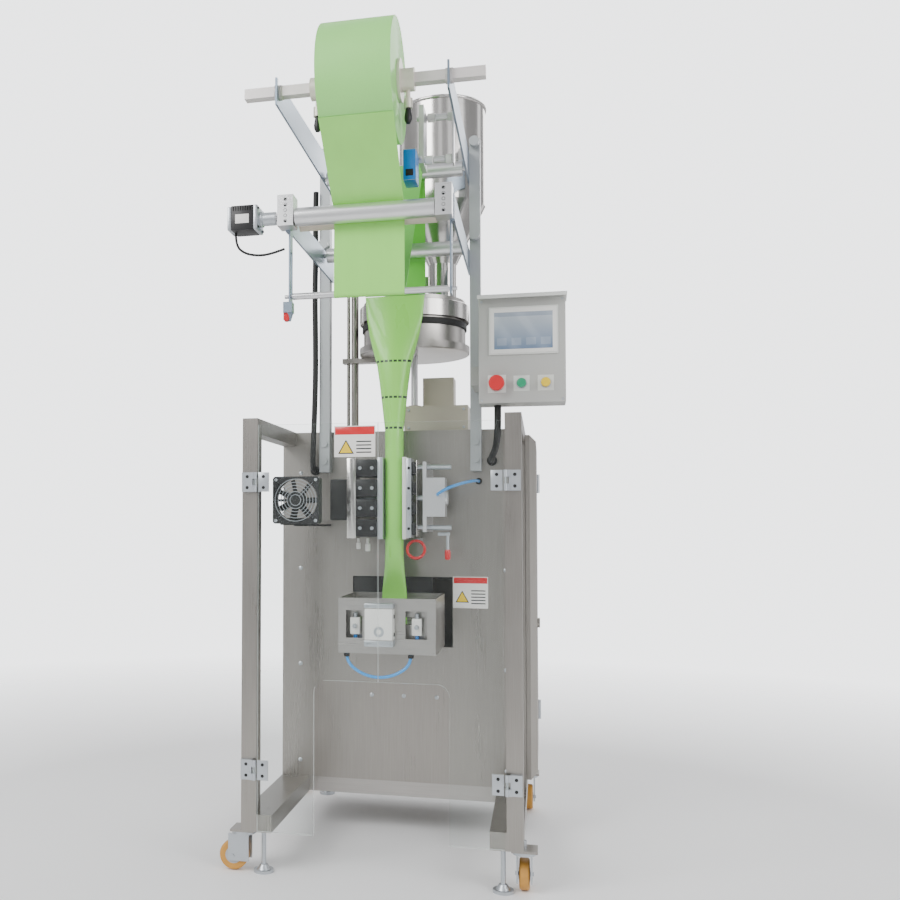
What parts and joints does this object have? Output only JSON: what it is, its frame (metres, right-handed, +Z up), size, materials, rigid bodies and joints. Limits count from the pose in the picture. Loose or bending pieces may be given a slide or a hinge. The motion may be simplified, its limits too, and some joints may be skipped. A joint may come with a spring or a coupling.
{
  "type": "vertical form fill sealer",
  "caption": "Floor-standing packing machine that draws film from a reel over a dancer, wraps it round a forming tube, fills, seals and cuts it.",
  "frame": {"origin": "bottom centre of the whole machine, on the floor", "axes": "+X to the right as seen from the front, +Y into the machine, +Z up"},
  "size_m": [0.8774, 1.248, 2.13],
  "materials": {
    "brushed_stainless": "brushed",
    "zinc_steel": "satin zinc",
    "amber_tyre": "moulded polyurethane",
    "clear_acrylic": "polished",
    "machined_aluminium": "turned",
    "pale_shaft": "satin",
    "beige_rubber": "ground",
    "green_film": "satin film",
    "blue_plastic": "moulded",
    "black_housing": "satin black",
    "knife_steel": "ground",
    "beige_paint": "satin",
    "black_rubber": "matt",
    "blue_hose": "polyurethane",
    "red_plastic": "gloss",
    "green_plastic": "gloss",
    "yellow_plastic": "gloss"
  },
  "bodies": {
    "root": {"left_side_frame": "brushed_stainless", "right_side_frame": "brushed_stainless", "base_cross_members": "brushed_stainless", "front_panel": "brushed_stainless", "cabinet_shell": "brushed_stainless", "levelling_feet": "zinc_steel", "post_hinge_leaves": "zinc_steel", "hmi_box": "brushed_stainless", "masts": "zinc_steel", "upper_arms": "zinc_steel", "lower_arms": "zinc_steel", "bearing_blocks": "machined_aluminium", "unwind_motor": "black_housing", "dancer_guides": "zinc_steel", "film_eye": "blue_plastic", "hopper": "brushed_stainless", "dosing_pan": "brushed_stainless", "feeder_stand": "brushed_stainless", "feeder_drive": "beige_paint", "forming_tube": "brushed_stainless", "film_unwind_run": "green_film", "film_dancer_loop": "green_film", "film_rear_run": "green_film", "film_tube": "green_film", "horn_unit": "black_housing", "anvil_cylinder": "machined_aluminium", "fan_housing": "black_housing", "hmi_conduit": "black_rubber", "mast_conduit": "black_rubber", "motor_cable": "black_rubber", "jaw_air_hose": "blue_hose"},
    "swivel_front_left": {"caster_fork_front_left": "zinc_steel"},
    "wheel_front_left": {"caster_wheel_front_left": "amber_tyre"},
    "swivel_front_right": {"caster_fork_front_right": "zinc_steel"},
    "wheel_front_right": {"caster_wheel_front_right": "amber_tyre"},
    "swivel_rear_left": {"caster_fork_rear_left": "zinc_steel"},
    "wheel_rear_left": {"caster_wheel_rear_left": "amber_tyre"},
    "swivel_rear_right": {"caster_fork_rear_right": "zinc_steel"},
    "wheel_rear_right": {"caster_wheel_rear_right": "amber_tyre"},
    "left_guard": {"left_guard_door": "clear_acrylic"},
    "right_guard": {"right_guard_door": "clear_acrylic"},
    "cabinet_door": {"side_door": "brushed_stainless"},
    "estop": {"emergency_stop": "red_plastic"},
    "start": {"start_button": "green_plastic"},
    "reset": {"reset_button": "yellow_plastic"},
    "reel": {"reel_shaft": "pale_shaft", "film_roll": "green_film", "reel_chucks": "machined_aluminium"},
    "drive": {"drive_roller": "machined_aluminium"},
    "pinch": {"pinch_roller": "beige_rubber"},
    "dancer": {"dancer_roller": "machined_aluminium"},
    "turn": {"turn_roller": "machined_aluminium"},
    "guide": {"lower_guide_roller": "machined_aluminium"},
    "cups": {"cup_disc": "machined_aluminium"},
    "anvil": {"anvil_jaw": "machined_aluminium"},
    "fan": {"fan_rotor": "black_housing"},
    "carriage": {"cutter_carriage": "brushed_stainless", "carriage_air_loop": "blue_hose"},
    "jaw": {"front_jaw": "machined_aluminium"},
    "knife": {"cutter_blade": "knife_steel"}
  },
  "joints": [
    {"name": "swivel_front_left_turn", "type": "hinge", "parent": "root", "child": "swivel_front_left", "pos_m": [-0.37325, -0.224, 0.1037], "axis": [0, 0, 1], "range_deg": [-90, 90]},
    {"name": "wheel_front_left_spin", "type": "hinge", "parent": "swivel_front_left", "child": "wheel_front_left", "pos_m": [-0.40125, -0.224, 0.0395], "axis": [0, -1, 0], "continuous": true},
    {"name": "swivel_front_right_turn", "type": "hinge", "parent": "root", "child": "swivel_front_right", "pos_m": [0.32675, -0.224, 0.1037], "axis": [0, 0, 1], "range_deg": [-180, 0]},
    {"name": "wheel_front_right_spin", "type": "hinge", "parent": "swivel_front_right", "child": "wheel_front_right", "pos_m": [0.32675, -0.196, 0.0395], "axis": [-1, 0, 0], "continuous": true},
    {"name": "swivel_rear_left_turn", "type": "hinge", "parent": "root", "child": "swivel_rear_left", "pos_m": [-0.37325, 0.576, 0.1037], "axis": [0, 0, 1], "range_deg": [-90, 90]},
    {"name": "wheel_rear_left_spin", "type": "hinge", "parent": "swivel_rear_left", "child": "wheel_rear_left", "pos_m": [-0.40125, 0.576, 0.0395], "axis": [0, -1, 0], "continuous": true},
    {"name": "swivel_rear_right_turn", "type": "hinge", "parent": "root", "child": "swivel_rear_right", "pos_m": [0.32675, 0.576, 0.1037], "axis": [0, 0, 1], "range_deg": [0, 180]},
    {"name": "wheel_rear_right_spin", "type": "hinge", "parent": "swivel_rear_right", "child": "wheel_rear_right", "pos_m": [0.32675, 0.548, 0.0395], "axis": [1, 0, 0], "continuous": true},
    {"name": "left_guard_swing", "type": "hinge", "parent": "root", "child": "left_guard", "pos_m": [-0.33525, -0.278, 0.268], "axis": [0, 0, 1], "range_deg": [-110, 0]},
    {"name": "right_guard_swing", "type": "hinge", "parent": "root", "child": "right_guard", "pos_m": [0.28875, -0.278, 0.268], "axis": [0, 0, 1], "range_deg": [0, 110]},
    {"name": "cabinet_door_swing", "type": "hinge", "parent": "root", "child": "cabinet_door", "pos_m": [0.35975, 0.618, 0.3], "axis": [0, 0, 1], "range_deg": [0, 95]},
    {"name": "estop_press", "type": "slide", "parent": "root", "child": "estop", "axis": [0, 1, 0], "range_m": [0, 0.005]},
    {"name": "start_press", "type": "slide", "parent": "root", "child": "start", "axis": [0, 1, 0], "range_m": [0, 0.005]},
    {"name": "reset_press", "type": "slide", "parent": "root", "child": "reset", "axis": [0, 1, 0], "range_m": [0, 0.005]},
    {"name": "reel_spin", "type": "hinge", "parent": "root", "child": "reel", "pos_m": [-0.02325, -0.484, 1.905], "axis": [1, 0, 0], "continuous": true},
    {"name": "drive_spin", "type": "hinge", "parent": "root", "child": "drive", "pos_m": [-0.02325, -0.415, 1.627], "axis": [1, 0, 0], "continuous": true},
    {"name": "pinch_spin", "type": "hinge", "parent": "root", "child": "pinch", "pos_m": [-0.02325, -0.3694, 1.627], "axis": [1, 0, 0], "continuous": true},
    {"name": "dancer_lift", "type": "slide", "parent": "root", "child": "dancer", "axis": [0, 0, 1], "range_m": [0, 0.1], "deforming": ["film_dancer_loop"]},
    {"name": "turn_spin", "type": "hinge", "parent": "root", "child": "turn", "pos_m": [-0.02325, 0.036, 1.87], "axis": [1, 0, 0], "continuous": true},
    {"name": "guide_spin", "type": "hinge", "parent": "root", "child": "guide", "pos_m": [-0.02325, 0.036, 1.65], "axis": [1, 0, 0], "continuous": true},
    {"name": "cups_spin", "type": "hinge", "parent": "root", "child": "cups", "pos_m": [0.00675, 0.253, 1.42], "axis": [0, 0, 1], "continuous": true},
    {"name": "anvil_open", "type": "slide", "parent": "root", "child": "anvil", "axis": [1, 0, 0], "range_m": [0, 0.012]},
    {"name": "fan_spin", "type": "hinge", "parent": "root", "child": "fan", "pos_m": [-0.24225, -0.224, 0.95], "axis": [0, 1, 0], "continuous": true},
    {"name": "carriage_draw", "type": "slide", "parent": "root", "child": "carriage", "axis": [0, 0, 1], "range_m": [-0.08, 0]},
    {"name": "jaw_open", "type": "slide", "parent": "carriage", "child": "jaw", "axis": [0, -1, 0], "range_m": [0, 0.014]},
    {"name": "knife_cut", "type": "slide", "parent": "carriage", "child": "knife", "axis": [0, 1, 0], "range_m": [0, 0.012]}
  ],
  "couplings": [
    {"joint": "drive_spin", "follows": "reel_spin", "ratio": -6.3636},
    {"joint": "pinch_spin", "follows": "reel_spin", "ratio": 6.3636},
    {"joint": "turn_spin", "follows": "reel_spin", "ratio": -7},
    {"joint": "guide_spin", "follows": "reel_spin", "ratio": -7}
  ]
}
